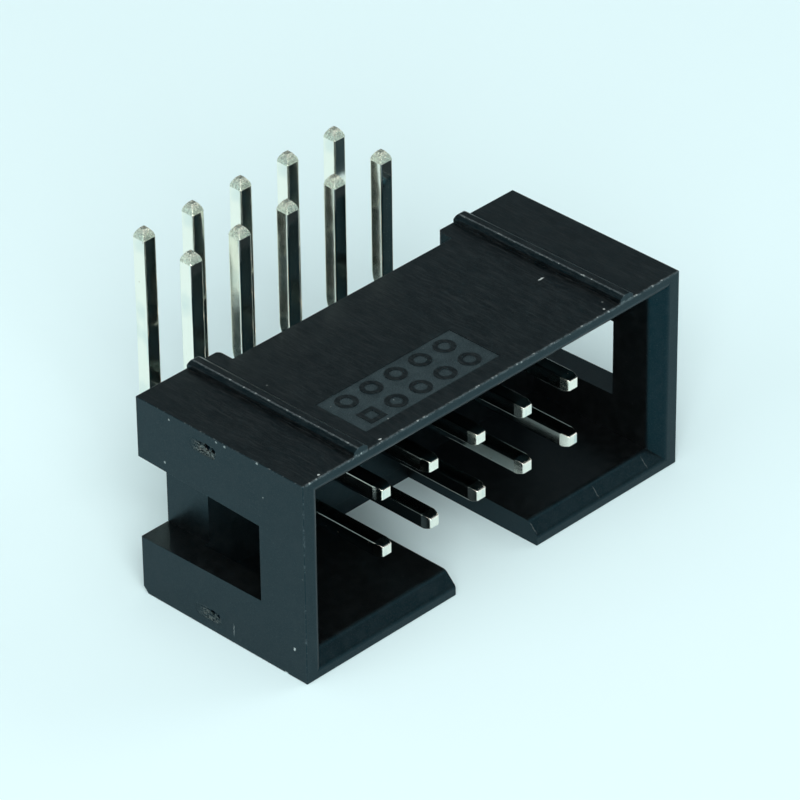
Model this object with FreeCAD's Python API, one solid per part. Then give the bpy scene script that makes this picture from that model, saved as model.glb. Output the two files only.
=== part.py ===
import FreeCAD, Part
import math
import os

# Right-angle box header with two rows of bent square pins in a moulded housing.
# It lies on the long wall that has the key slot. The mouth faces -Y, the solder tails
# point up, X runs along the rows, and the origin is the middle of the footprint.
# All sizes are in millimetres.

Vector = FreeCAD.Vector

# Contact layout
contacts_per_row = 5
pitch = 2.54
row_spacing = 2.54

# Housing
end_margin = 5.07
housing_height = 8.8
cavity_depth = 6.52
base_thickness = 2.23
long_wall = 0.95
end_wall = 1.15
mouth_chamfer = 0.53
lead_in_rounding = 0.3
rim_rounding = 0.25
edge_radius = 0.04
rear_chamfer = 0.26

# Key slot in the lower wall. It runs on a little way under the base.
key_slot_width = 4.5
key_slot_depth = 6.85

# Recess in each end face, open to the rear and into the cavity. Its height is measured at its
# front end, and its upper and lower walls spread towards the rear by the draft, in degrees.
end_recess_height = 3.34
end_recess_drop = 0.06
end_recess_draft = 1.3
end_recess_inset = 1.4
end_recess_web = 2.33

# Recess down the rear face, where the pins leave the base
rear_recess_depth = 0.8
rear_recess_margin = 0.5
rear_recess_radius = 0.25

# Stand-off ribs on the board side
rib_height = 0.32
rib_side = 0.18
rib_base = 0.7
rib_top = 0.3
rib_inset = 2.64
rib_rounding = 0.06
rib_rear_rounding = 0.15

# Matt marking field on the board side
field_length = 7.1
field_width = 2.6
field_sink = 0.03
field_from_end = 4.15
field_from_mouth = 0.88

# Triangle at the first contact, sunk in the wall with the key slot
mark_side = 1.3
mark_sink = 0.1
mark_from_mouth = 0.9

# Pockets in the left end face that keep the torn moulding gates below the surface
gate_length = 1.4
gate_width = 0.56
gate_sink = 0.08
gate_from_mouth = 5.2
gate_from_edge = 0.7

# Pins of square wire
pin_size = 0.64
pin_corner = 0.07
pin_hole_clearance = 0.01
bend_radius = 0.5
shoulder_swell = 0.12

# Contact ends in the cavity
pin_setback = 0.78
contact_taper = 0.42
contact_tip = 0.42

# Solder tails
tail_offset = 2.18
tail_row_spacing = 2.54
tail_height = 3.05
tail_taper = 0.38
tail_tip = 0.26

# Derived places
row_length = pitch * (contacts_per_row - 1)
housing_length = row_length + 2 * end_margin
housing_depth = cavity_depth + base_thickness
overall_depth = housing_depth + tail_offset + tail_row_spacing + pin_size / 2
left = -housing_length / 2
mouth = -overall_depth / 2
floor = mouth + cavity_depth
rear = mouth + housing_depth
middle = housing_height / 2
cavity_length = housing_length - 2 * end_wall
cavity_height = housing_height - 2 * long_wall
lower_row = middle - row_spacing / 2
upper_row = middle + row_spacing / 2
contact_end = mouth + pin_setback
inner_tails = rear + tail_offset
outer_tails = inner_tails + tail_row_spacing
tail_end = housing_height + tail_height
first_pin = -row_length / 2

# How far a cut runs past the surface it opens through, and how near an edge counts as on a plane
beyond = 1.0
near = 0.001


def block(x0, x1, y0, y1, z0, z1):
    """Rectangular block between two opposite corners."""
    return Part.makeBox(x1 - x0, y1 - y0, z1 - z0, Vector(x0, y0, z0))


def face_of(points):
    """Flat face bounded by straight lines through the points."""
    return Part.Face(Part.makePolygon(points + points[:1]))


def outer_body():
    """Body of the housing: its side profile drawn out along X, with softened edges."""
    profile = face_of([
        Vector(left, mouth, 0),
        Vector(left, rear - rear_chamfer, 0),
        Vector(left, rear, rear_chamfer),
        Vector(left, rear, housing_height),
        Vector(left, mouth, housing_height),
    ])
    body = profile.extrude(Vector(housing_length, 0, 0))
    return body.makeFillet(edge_radius, body.Edges)


def stand_off_rib(side):
    """Rib with upright sides and sloped shoulders, rooted in the wall it stands on."""
    centre = side * (housing_length / 2 - rib_inset - rib_base / 2)
    root = housing_height - long_wall / 2
    crest = housing_height + rib_height
    section = face_of([
        Vector(centre - rib_base / 2, mouth, root),
        Vector(centre + rib_base / 2, mouth, root),
        Vector(centre + rib_base / 2, mouth, housing_height + rib_side),
        Vector(centre + rib_top / 2, mouth, crest),
        Vector(centre - rib_top / 2, mouth, crest),
        Vector(centre - rib_base / 2, mouth, housing_height + rib_side),
    ])
    rib = section.extrude(Vector(0, housing_depth, 0))
    crest_edges = [edge for edge in rib.Edges if edge.BoundBox.ZMin > crest - near]
    rear_edge = [edge for edge in crest_edges if edge.BoundBox.YMin > rear - near]
    rib = rib.makeFillet(rib_rear_rounding, rear_edge)
    crest_edges = [edge for edge in rib.Edges if edge.BoundBox.ZMin > crest - near]
    long_edges = [edge for edge in crest_edges if edge.BoundBox.YLength > housing_depth / 2]
    return rib.makeFillet(rib_rounding, long_edges)


def flared_prism(half, across, along):
    """Profile of the socket opening, half wide on each side, drawn out along one axis."""
    wide = half + mouth_chamfer
    neck = mouth + mouth_chamfer
    stations = [
        (-wide, mouth - beyond), (-wide, mouth), (-half, neck), (-half, floor),
        (half, floor), (half, neck), (wide, mouth), (wide, mouth - beyond),
    ]
    start = Vector(0, 0, middle) - along * housing_length
    profile = face_of([start + across * aside + Vector(0, y, 0) for aside, y in stations])
    prism = profile.extrude(along * (2 * housing_length))
    neck_edges = [
        edge for edge in prism.Edges
        if edge.BoundBox.YMin > neck - near and edge.BoundBox.YMax < neck + near
    ]
    return prism.makeFillet(lead_in_rounding, neck_edges)


def socket_cavity():
    """Space for the cable socket: two crossed prisms, so the lead-in has mitred corners."""
    between_ends = flared_prism(cavity_length / 2, Vector(1, 0, 0), Vector(0, 0, 1))
    between_walls = flared_prism(cavity_height / 2, Vector(0, 0, 1), Vector(1, 0, 0))
    return between_ends.common(between_walls)


def rim_edges(body):
    """Edges of the mouth, where its flat rim turns into the lead-in."""
    x_reach = cavity_length / 2 + mouth_chamfer + near
    z_reach = cavity_height / 2 + mouth_chamfer + near
    opening = FreeCAD.BoundBox(-x_reach, mouth - near, middle - z_reach,
                               x_reach, mouth + near, middle + z_reach)
    return [edge for edge in body.Edges if opening.isInside(edge.BoundBox)]


def key_slot():
    """Slot in the lower wall for the key of the cable socket."""
    half = key_slot_width / 2
    return block(-half, half, mouth - beyond, mouth + key_slot_depth, -beyond, long_wall)


def end_recess(side):
    """Recess in one end face. Ahead of the base it opens a window into the cavity."""
    outside = side * (housing_length / 2 + beyond)
    front = mouth + end_recess_web
    back = rear + beyond
    centre = middle - end_recess_drop
    half = end_recess_height / 2
    half_behind = half + (back - front) * math.tan(math.radians(end_recess_draft))
    profile = face_of([
        Vector(outside, front, centre - half),
        Vector(outside, back, centre - half_behind),
        Vector(outside, back, centre + half_behind),
        Vector(outside, front, centre + half),
    ])
    return profile.extrude(Vector(-side * (end_recess_inset + beyond), 0, 0))


def rear_recess():
    """Shallow recess down the rear face, between two feet with rounded inner corners."""
    half = row_length / 2 + pin_size / 2 + rear_recess_margin
    radius = rear_recess_radius
    low = -beyond
    high = housing_height + beyond
    recess = block(-half, half, rear - rear_recess_depth, rear + beyond, low, high)
    for side in (-1, 1):
        inner = side * half
        outer = side * (half + radius)
        corner = block(min(inner, outer), max(inner, outer), rear - radius, rear + beyond, low, high)
        foot = Part.makeCylinder(radius, high - low, Vector(outer, rear - radius, low))
        recess = recess.fuse(corner.cut(foot))
    return recess


def marking_field():
    """Shallow sunk field on the board side, left bare."""
    x0 = left + field_from_end
    y0 = mouth + field_from_mouth
    bottom = housing_height - field_sink
    return block(x0, x0 + field_length, y0, y0 + field_width, bottom, housing_height + beyond)


def first_contact_mark():
    """Sunk triangle that points at the mouth beside the first contact."""
    tip = mouth + mark_from_mouth
    back = tip + mark_side * 0.75 ** 0.5
    triangle = face_of([
        Vector(first_pin, tip, -beyond),
        Vector(first_pin + mark_side / 2, back, -beyond),
        Vector(first_pin - mark_side / 2, back, -beyond),
    ])
    return triangle.extrude(Vector(0, 0, beyond + mark_sink))


def gate_pocket(z):
    """Shallow pocket with round ends in the left end face, at the height z."""
    half = gate_width / 2
    run = gate_length / 2 - half
    y = mouth + gate_from_mouth
    start = left - beyond
    finish = left + gate_sink
    pocket = block(start, finish, y - run, y + run, z - half, z + half)
    for way in (-1, 1):
        end = Part.makeCylinder(half, finish - start, Vector(start, y + way * run, z), Vector(1, 0, 0))
        pocket = pocket.fuse(end)
    return pocket


def pin_places():
    """Every pin's name, place along X, row height and tail place, from left to right."""
    for number in range(contacts_per_row):
        x = first_pin + number * pitch
        yield "short_pin_%d" % (number + 1), x, upper_row, inner_tails
        yield "long_pin_%d" % (number + 1), x, lower_row, outer_tails


def pin_hole(x, z):
    """Square hole through the base for one pin."""
    half = pin_size / 2 + pin_hole_clearance
    return block(x - half, x + half, floor - beyond, rear + beyond, z - half, z + half)


def housing():
    """The moulded housing: one piece of plastic."""
    body = outer_body().fuse([stand_off_rib(-1), stand_off_rib(1)]).removeSplitter()
    body = body.cut(socket_cavity())
    body = body.makeFillet(rim_rounding, rim_edges(body))
    cuts = [key_slot(), end_recess(-1), end_recess(1), rear_recess()]
    cuts += [marking_field(), first_contact_mark()]
    cuts += [gate_pocket(gate_from_edge), gate_pocket(housing_height - gate_from_edge)]
    cuts += [pin_hole(x, z) for name, x, z, tail in pin_places()]
    return body.cut(cuts)


def pin_section(centre, across, size):
    """Square wire section with cut corners, spanned by X and the direction across."""
    half = size / 2
    short = half - pin_corner
    corners = [
        (half, short), (short, half), (-short, half), (-half, short),
        (-half, -short), (-short, -half), (short, -half), (half, -short),
    ]
    points = [centre + Vector(a, 0, 0) + across * b for a, b in corners]
    return Part.makePolygon(points + points[:1])


def pointed_end(root, tip, across, tip_size):
    """Tapered end of a pin, fuller than a straight taper at its shoulder."""
    shoulder_size = (pin_size + tip_size) / 2 + shoulder_swell * (pin_size - tip_size)
    return Part.makeLoft([
        pin_section(root, across, pin_size),
        pin_section((root + tip) * 0.5, across, shoulder_size),
        pin_section(tip, across, tip_size),
    ], True, True)


def pin(x, z, tail):
    """One pin: contact end, straight run through the base, bend and solder tail."""
    back = Vector(0, 1, 0)
    up = Vector(0, 0, 1)
    centreline = bend_radius + pin_size / 2
    contact_root = Vector(x, contact_end + contact_taper, z)
    bend_start = Vector(x, tail - centreline, z)
    bend_finish = Vector(x, tail, z + centreline)
    tail_root = Vector(x, tail, tail_end - tail_taper)
    contact = pointed_end(contact_root, Vector(x, contact_end, z), up, contact_tip)
    run = Part.Face(pin_section(contact_root, up, pin_size)).extrude(bend_start - contact_root)
    bend_face = Part.Face(pin_section(bend_start, up, pin_size))
    bend = bend_face.revolve(bend_start + up * centreline, Vector(1, 0, 0), 90)
    riser = Part.Face(pin_section(bend_finish, back, pin_size)).extrude(tail_root - bend_finish)
    solder_end = pointed_end(tail_root, Vector(x, tail, tail_end), back, tail_tip)
    return contact.fuse([run, bend, riser, solder_end]).removeSplitter()


os.makedirs("parts", exist_ok=True)
housing().exportStep("parts/housing.step")
for name, x, z, tail in pin_places():
    pin(x, z, tail).exportStep("parts/%s.step" % name)
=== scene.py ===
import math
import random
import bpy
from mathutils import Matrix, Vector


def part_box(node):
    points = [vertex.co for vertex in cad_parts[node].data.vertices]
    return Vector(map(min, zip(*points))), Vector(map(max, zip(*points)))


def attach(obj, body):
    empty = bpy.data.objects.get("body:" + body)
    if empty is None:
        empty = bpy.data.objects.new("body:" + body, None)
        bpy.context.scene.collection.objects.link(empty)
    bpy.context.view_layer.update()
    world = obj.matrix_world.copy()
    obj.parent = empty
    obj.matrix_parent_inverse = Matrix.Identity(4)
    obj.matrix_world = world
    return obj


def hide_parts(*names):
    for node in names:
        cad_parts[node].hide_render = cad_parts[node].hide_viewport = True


bl_info = {
    "name": "Right-Angle Box Header",
    "version": (1, 0, 0),
    "blender": (4, 5, 0),
    "location": "3D View > Sidebar > Box Header",
    "description": "Finishes, drawn pins, torn gates and a photo stage for a right-angle box header",
    "category": "Object",
}

from collections import namedtuple

import bmesh
import bpy
from bpy.props import FloatProperty, FloatVectorProperty, IntProperty, PointerProperty
from mathutils import Matrix, Vector, noise

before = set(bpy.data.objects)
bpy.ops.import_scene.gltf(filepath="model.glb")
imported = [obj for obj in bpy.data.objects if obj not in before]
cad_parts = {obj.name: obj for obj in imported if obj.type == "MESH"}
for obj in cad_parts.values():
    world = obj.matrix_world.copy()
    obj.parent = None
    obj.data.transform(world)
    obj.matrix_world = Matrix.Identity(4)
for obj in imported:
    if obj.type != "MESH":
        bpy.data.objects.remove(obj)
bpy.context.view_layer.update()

MM = 0.001
PIN_NODES = sorted(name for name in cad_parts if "_pin_" in name)
HOUSING_LOW, HOUSING_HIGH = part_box("housing")
WIRE_FINISH, CONTACT_FINISH, SOLDER_FINISH, SOCKET_FINISH = range(4)

# Places of a Mix node's sockets, which share their names
VECTOR_FIRST, VECTOR_SECOND, VECTOR_RESULT = 4, 5, 1
COLOUR_FIRST, COLOUR_SECOND, COLOUR_RESULT = 6, 7, 2

# Section of a pin, with the finish of the stretch that follows it
Station = namedtuple("Station", "centre across size corner finish crease")

# Single pale marks on the housing: place, half size along each axis, both in millimetres, and strength
MARKS = (
    ((6.08, -3.47, 8.8), (0.19, 0.05, 0.05), 1.0),
    ((6.14, -6.66, 8.8), (0.06, 0.05, 0.05), 0.8),
    ((6.47, -6.28, 8.8), (0.05, 0.05, 0.05), 0.3),
    ((-9.19, -6.74, 8.8), (0.07, 0.05, 0.05), 1.0),
    ((-6.01, -6.73, 8.8), (0.08, 0.05, 0.05), 1.0),
    ((-4.81, -5.98, 8.8), (0.08, 0.05, 0.05), 0.6),
    ((-3.76, -5.22, 8.8), (0.05, 0.05, 0.05), 0.25),
    ((-0.48, -3.58, 8.8), (0.05, 0.05, 0.05), 0.25),
    ((-5.67, -3.86, 8.8), (0.05, 0.05, 0.05), 0.25),
    ((-6.3, -1.17, 8.8), (0.05, 0.05, 0.05), 0.25),
    ((-10.15, 0.38, 6.54), (0.05, 0.05, 0.05), 0.6),
    ((-10.15, 0.08, 8.55), (0.05, 0.05, 0.06), 0.6),
    ((-10.15, -2.41, 8.69), (0.05, 0.06, 0.05), 0.5),
    ((-10.15, -2.86, 8.69), (0.05, 0.07, 0.05), 0.5),
    ((-10.15, -4.53, 8.74), (0.05, 0.06, 0.06), 0.5),
    ((-10.15, -4.81, 7.36), (0.05, 0.05, 0.05), 0.4),
    ((-10.15, -3.05, 0.61), (0.05, 0.025, 0.34), 0.3),
    ((-10.15, -6.27, 1.32), (0.05, 0.06, 0.1), 0.9),
    ((-10.15, -5.82, 0.03), (0.05, 0.1, 0.06), 0.9),
    ((9.18, -6.75, 7.78), (0.09, 0.2, 0.05), 0.9),
    ((7.98, -6.75, 0.3), (0.06, 0.1, 0.1), 0.7),
    ((8.56, -6.63, 0.62), (0.025, 0.3, 0.34), 0.12),
    ((5.78, -6.63, 0.6), (0.025, 0.3, 0.34), 0.12),
    ((2.3, -6.63, 0.68), (0.025, 0.3, 0.3), 0.12),
)

# Middles of the pits in a torn gate, and their reach, along it and aside, as shares of its half size
TORN_PITS = ((-0.8, 0.3), (-0.3, 0.62))
TORN_PIT_REACH = (0.17, 0.36)
# How far the plastic of a gate is stretched, torn and pitted, kept on its mesh
TORN_LAYERS = ("Stretched", "Torn", "Pit")


class HousingLook(bpy.types.PropertyGroup):
    """Finish of the moulded housing."""

    shade: FloatVectorProperty(
        name="Shade", description="Colour of the moulded plastic",
        subtype="COLOR", size=3, default=(0.0018, 0.0018, 0.0018), min=0, max=1,
    )
    gloss_tint: FloatVectorProperty(
        name="Gloss Tint", description="Tint of what the plastic reflects when seen head-on",
        subtype="COLOR", size=3, default=(0.1, 0.72, 1.0), min=0, max=1,
    )
    gloss: FloatProperty(
        name="Gloss", description="Strength of the reflection seen head-on", default=0.325, min=0, max=1,
    )
    field_shade: FloatVectorProperty(
        name="Field Shade", description="Colour of the etched marking field",
        subtype="COLOR", size=3, default=(0.023, 0.031, 0.033), min=0, max=1,
    )
    # Also the colour of painted highlight on the ribs' left crests and the upright mouth corners
    flash_and_highlight_shade: FloatVectorProperty(
        name="Crust Shade", description="Colour of the worn flash along the edges",
        subtype="COLOR", size=3, default=(0.055, 0.068, 0.072), min=0, max=1,
    )
    # Also the colour of painted highlight: the faint pale line along every edge and the nicks crowded on the
    # ribs' left crests
    nick_and_highlight_shade: FloatVectorProperty(
        name="Nick Shade", description="Colour of the bare resin where an edge is nicked",
        subtype="COLOR", size=3, default=(0.42, 0.48, 0.47), min=0, max=1,
    )
    roughness: FloatProperty(
        name="Roughness", description="Roughness of the smooth moulded faces", default=0.33, min=0, max=1,
    )
    edge_softness: FloatProperty(
        name="Edge Softness", description="Radius by which every sharp moulded edge looks broken",
        subtype="DISTANCE", unit="LENGTH", default=0.009 * MM, min=0,
    )
    nick_size: FloatProperty(
        name="Nick Size", description="Spacing of the nicks along the edges",
        subtype="DISTANCE", unit="LENGTH", default=0.12 * MM, min=0.01 * MM,
    )


class MarkingLook(bpy.types.PropertyGroup):
    """Marking field on the board side, and the pictogram of the contacts that stands in it."""

    centre: FloatVectorProperty(
        name="Centre", description="Middle of the marking field on the board side",
        subtype="TRANSLATION", unit="LENGTH", size=2, default=(-2.45 * MM, -4.715 * MM),
    )
    size: FloatVectorProperty(
        name="Size", description="Length and width of the marking field",
        subtype="XYZ", unit="LENGTH", size=2, default=(7.1 * MM, 2.6 * MM),
    )
    board_side: FloatProperty(
        name="Board Side", description="Height of the wall that the field is sunk into",
        subtype="DISTANCE", unit="LENGTH", default=8.8 * MM,
    )
    sink: FloatProperty(
        name="Sink", description="Depth of the field below the wall",
        subtype="DISTANCE", unit="LENGTH", default=0.03 * MM, min=0,
    )
    rib_place: FloatProperty(
        name="Rib Place", description="Distance of each rib's middle from the middle of the housing",
        subtype="DISTANCE", unit="LENGTH", default=7.16 * MM, min=0,
    )
    rib_crest: FloatProperty(
        name="Rib Crest", description="Width of the crest of each rib",
        subtype="DISTANCE", unit="LENGTH", default=0.3 * MM, min=0,
    )
    columns: IntProperty(name="Columns", description="Contacts in a row of the pictogram", default=5, min=1)
    spacing: FloatProperty(
        name="Spacing", description="Distance between the rings of the pictogram",
        subtype="DISTANCE", unit="LENGTH", default=1.3 * MM, min=0,
    )
    ring_radius: FloatProperty(
        name="Ring Radius", description="Outer radius of one ring",
        subtype="DISTANCE", unit="LENGTH", default=0.45 * MM, min=0,
    )
    stroke: FloatProperty(
        name="Stroke", description="Width of the line that draws a ring",
        subtype="DISTANCE", unit="LENGTH", default=0.2 * MM, min=0,
    )


class GateLook(bpy.types.PropertyGroup):
    """Torn moulding gates in the pockets of the left end face."""

    length: FloatProperty(
        name="Length", description="Length of a torn gate along the end face",
        subtype="DISTANCE", unit="LENGTH", default=1.37 * MM, min=0,
    )
    width: FloatProperty(
        name="Width", description="Height of a torn gate on the end face",
        subtype="DISTANCE", unit="LENGTH", default=0.53 * MM, min=0,
    )
    depth: FloatProperty(
        name="Depth", description="Depth of the pocket that holds the torn plastic",
        subtype="DISTANCE", unit="LENGTH", default=0.08 * MM, min=0,
    )
    from_mouth: FloatProperty(
        name="From Mouth", description="Distance of a gate's middle from the mouth",
        subtype="DISTANCE", unit="LENGTH", default=5.2 * MM, min=0,
    )
    from_edge: FloatProperty(
        name="From Edge", description="Distance of a gate's middle from the nearer wall face",
        subtype="DISTANCE", unit="LENGTH", default=0.7 * MM, min=0,
    )
    stretched_shade: FloatVectorProperty(
        name="Stretched Shade", description="Colour of the plastic where it was stretched and torn",
        subtype="COLOR", size=3, default=(0.2, 0.22, 0.2), min=0, max=1,
    )


class PinLook(bpy.types.PropertyGroup):
    """Shape and finish of the plated pins."""

    corner: FloatProperty(
        name="Corner", description="Corner radius of the drawn square wire",
        subtype="DISTANCE", unit="LENGTH", default=0.07 * MM, min=0,
    )
    coined_corner: FloatProperty(
        name="Coined Corner", description="Corner radius at the tip of a coined end",
        subtype="DISTANCE", unit="LENGTH", default=0.008 * MM, min=0,
    )
    bend_radius: FloatProperty(
        name="Bend Radius", description="Inner radius of the bend",
        subtype="DISTANCE", unit="LENGTH", default=0.5 * MM, min=0,
    )
    socket_floor: FloatProperty(
        name="Socket Floor", description="Place along Y where the pins go into the base of the socket",
        subtype="DISTANCE", unit="LENGTH", default=-0.375 * MM,
    )
    contact_taper: FloatProperty(
        name="Contact Taper", description="Length of the coined contact end",
        subtype="DISTANCE", unit="LENGTH", default=0.42 * MM, min=0,
    )
    contact_tip: FloatProperty(
        name="Contact Tip", description="Width of the flat at the contact end",
        subtype="DISTANCE", unit="LENGTH", default=0.42 * MM, min=0,
    )
    tail_taper: FloatProperty(
        name="Tail Taper", description="Length of the coined solder tail end",
        subtype="DISTANCE", unit="LENGTH", default=0.38 * MM, min=0,
    )
    tail_tip: FloatProperty(
        name="Tail Tip", description="Width of the flat at the solder tail end",
        subtype="DISTANCE", unit="LENGTH", default=0.26 * MM, min=0,
    )
    shoulder_swell: FloatProperty(
        name="Shoulder Swell", description="How much fuller than a straight taper a coined end is",
        default=0.12, min=0, max=0.5,
    )
    tip_softening: FloatProperty(
        name="Tip Softening", description="Width of the broken edge round the flat of a tip",
        subtype="DISTANCE", unit="LENGTH", default=0.012 * MM, min=0,
    )
    tip_pit: FloatProperty(
        name="Tip Pit", description="Depth of the small pit in the flat of a solder tail",
        subtype="DISTANCE", unit="LENGTH", default=0.03 * MM, min=0,
    )
    coining: FloatProperty(
        name="Coining", description="Unevenness of the coined facets of a solder tail",
        subtype="DISTANCE", unit="LENGTH", default=0.01 * MM, min=0,
    )
    plating: FloatVectorProperty(
        name="Plating", description="Colour of the bright pale plating",
        subtype="COLOR", size=3, default=(0.95, 0.925, 0.83), min=0, max=1,
    )
    coined_plating: FloatVectorProperty(
        name="Coined Plating", description="Colour of the plating on the coined solder tails",
        subtype="COLOR", size=3, default=(0.93, 0.96, 0.8), min=0, max=1,
    )
    # Darker than the plating: painted shade on the runs inside the socket, where they lie in and mirror the
    # dark hollow
    socket_shade_plating: FloatVectorProperty(
        name="Dull Plating", description="Colour of the plating on the runs inside the socket",
        subtype="COLOR", size=3, default=(0.43, 0.45, 0.42), min=0, max=1,
    )
    roughness: FloatProperty(
        name="Roughness", description="Roughness of the plated flats", default=0.075, min=0, max=1,
    )
    dull_roughness: FloatProperty(
        name="Dull Roughness", description="Roughness of the runs inside the socket",
        default=0.09, min=0, max=1,
    )
    coined_roughness: FloatProperty(
        name="Coined Roughness", description="Roughness of the coined solder tails",
        default=0.22, min=0, max=1,
    )


class StageLook(bpy.types.PropertyGroup):
    """Floor, light and camera."""

    floor_shade: FloatVectorProperty(
        name="Floor Shade", description="Colour of the plain pale floor",
        subtype="COLOR", size=3, default=(0.74, 0.92, 0.94), min=0, max=1,
    )
    floor_radius: FloatProperty(
        name="Floor Radius", description="Radius of the flat part of the floor",
        subtype="DISTANCE", unit="LENGTH", default=0.8, min=0.1,
    )
    rim_radius: FloatProperty(
        name="Rim Radius", description="Radius by which the floor turns up into its rim",
        subtype="DISTANCE", unit="LENGTH", default=0.5, min=0.01,
    )
    overhead_power: FloatProperty(
        name="Overhead Power", description="Power of the overhead softbox", subtype="POWER", unit="POWER",
        default=2.5, min=0,
    )
    front_power: FloatProperty(
        name="Front Power", description="Power of the softbox beside the camera", subtype="POWER",
        unit="POWER", default=5.6, min=0,
    )
    side_power: FloatProperty(
        name="Side Power", description="Power of each side softbox", subtype="POWER", unit="POWER",
        default=0.66, min=0,
    )
    surround: FloatProperty(
        name="Surround", description="Strength of the even room light", default=0.2, min=0,
    )
    camera_place: FloatVectorProperty(
        name="Camera Place", description="Place of the camera in the part's own frame",
        subtype="TRANSLATION", unit="LENGTH", size=3, precision=4,
        default=(-125.4326 * MM, -125.608 * MM, 120.5993 * MM),
    )
    camera_yaw: FloatProperty(
        name="Camera Yaw", description="Heading of the camera, from +Y towards +X",
        subtype="ANGLE", unit="ROTATION", default=math.radians(45.3845),
    )
    camera_pitch: FloatProperty(
        name="Camera Pitch", description="How far the camera looks down",
        subtype="ANGLE", unit="ROTATION", default=math.radians(33.1616),
    )
    camera_roll: FloatProperty(
        name="Camera Roll", description="Turn of the camera about its line of sight",
        subtype="ANGLE", unit="ROTATION", default=math.radians(-0.6891),
    )
    lens: FloatProperty(
        name="Lens", description="Focal length on a sensor 36 mm wide", subtype="DISTANCE_CAMERA",
        unit="CAMERA", default=249.844, min=10,
    )


LOOKS = {
    "header_housing": HousingLook,
    "header_marking": MarkingLook,
    "header_gates": GateLook,
    "header_pins": PinLook,
    "header_stage": StageLook,
}


def feed(tree, value, socket):
    """Links an output to an input, or sets the input to a plain value."""
    if isinstance(value, bpy.types.NodeSocket):
        tree.links.new(value, socket)
    elif value is not None:
        socket.default_value = value


def new_node(tree, kind, inputs=None, **settings):
    """Adds a shader node, sets its properties and feeds its inputs."""
    node = tree.nodes.new(kind)
    for name, value in settings.items():
        setattr(node, name, value)
    for name, value in (inputs or {}).items():
        feed(tree, value, node.inputs[name])
    return node


def math_node(tree, operation, *operands, clamp=False):
    """Result of a math node."""
    inputs = dict(enumerate(operands))
    return new_node(tree, "ShaderNodeMath", inputs, operation=operation, use_clamp=clamp).outputs["Value"]


def vector_math(tree, operation, *operands, output="Vector"):
    """Result of a vector math node."""
    inputs = dict(enumerate(operands))
    return new_node(tree, "ShaderNodeVectorMath", inputs, operation=operation).outputs[output]


def scale_vector(tree, vector, factor):
    """Vector or colour times a value."""
    inputs = {0: vector, "Scale": factor}
    return new_node(tree, "ShaderNodeVectorMath", inputs, operation="SCALE").outputs["Vector"]


def remap(tree, value, low, high, to_low=0.0, to_high=1.0):
    """Clamped change of range of one value."""
    return new_node(tree, "ShaderNodeMapRange", {
        "Value": value, "From Min": low, "From Max": high, "To Min": to_low, "To Max": to_high,
    }).outputs["Result"]


def mix_colours(tree, factor, first, second):
    """Mix of two colours, each a plain one or an output."""
    inputs = {0: factor}
    for place, colour in ((COLOUR_FIRST, first), (COLOUR_SECOND, second)):
        inputs[place] = colour if isinstance(colour, bpy.types.NodeSocket) else (*colour, 1)
    return new_node(tree, "ShaderNodeMix", inputs, data_type="RGBA").outputs[COLOUR_RESULT]


def noise_cloud(tree, vector, scale, detail, roughness=0.5):
    """Outputs of a noise texture."""
    return new_node(tree, "ShaderNodeTexNoise", {
        "Vector": vector, "Scale": scale, "Detail": detail, "Roughness": roughness,
    }).outputs


def object_place(tree):
    """Object coordinates."""
    return new_node(tree, "ShaderNodeTexCoord").outputs["Object"]


def object_axes(tree):
    """Object coordinates, split into X, Y and Z."""
    return new_node(tree, "ShaderNodeSeparateXYZ", {"Vector": object_place(tree)}).outputs


def add_bump(tree, height, shader, strength, distance, normal=None):
    """Bumps a shader's surface, from its own normal or another."""
    bump = new_node(tree, "ShaderNodeBump", {
        "Strength": strength, "Distance": distance, "Height": height, "Normal": normal,
    })
    feed(tree, bump.outputs["Normal"], shader.inputs["Normal"])


def new_group(name, inputs, outputs):
    """Shader node group, with what it is given and the sockets that its results feed."""
    group = bpy.data.node_groups.new(name, "ShaderNodeTree")
    for label, default in inputs:
        kind = "NodeSocketVector" if default is None else "NodeSocketFloat"
        socket = group.interface.new_socket(label, in_out="INPUT", socket_type=kind)
        if default is not None:
            socket.default_value = default
    for label, kind in outputs:
        group.interface.new_socket(label, in_out="OUTPUT", socket_type=kind)
    given = group.nodes.new("NodeGroupInput").outputs
    results = group.nodes.new("NodeGroupOutput").inputs
    return group, given, results


def place_group(tree, name, inputs=None):
    """Outputs of a shader node group that is placed in a material."""
    return new_node(tree, "ShaderNodeGroup", inputs, node_tree=bpy.data.node_groups[name]).outputs


def build_grain_group():
    """Fine grain of a filled moulding, with a broad mottle."""
    group, given, results = new_group(
        "Moulded Grain", [("Grain Size", 0.05 * MM), ("Mottle Size", 0.6 * MM)],
        [("Grain", "NodeSocketFloat"), ("Mottle", "NodeSocketFloat")],
    )
    place = object_place(group)
    for size, detail, output in (("Grain Size", 3.0, "Grain"), ("Mottle Size", 4.0, "Mottle")):
        density = math_node(group, "DIVIDE", 1.0, given[size])
        cloud = noise_cloud(group, place, density, detail, 0.6)
        feed(group, cloud["Fac"], results[output])


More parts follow.
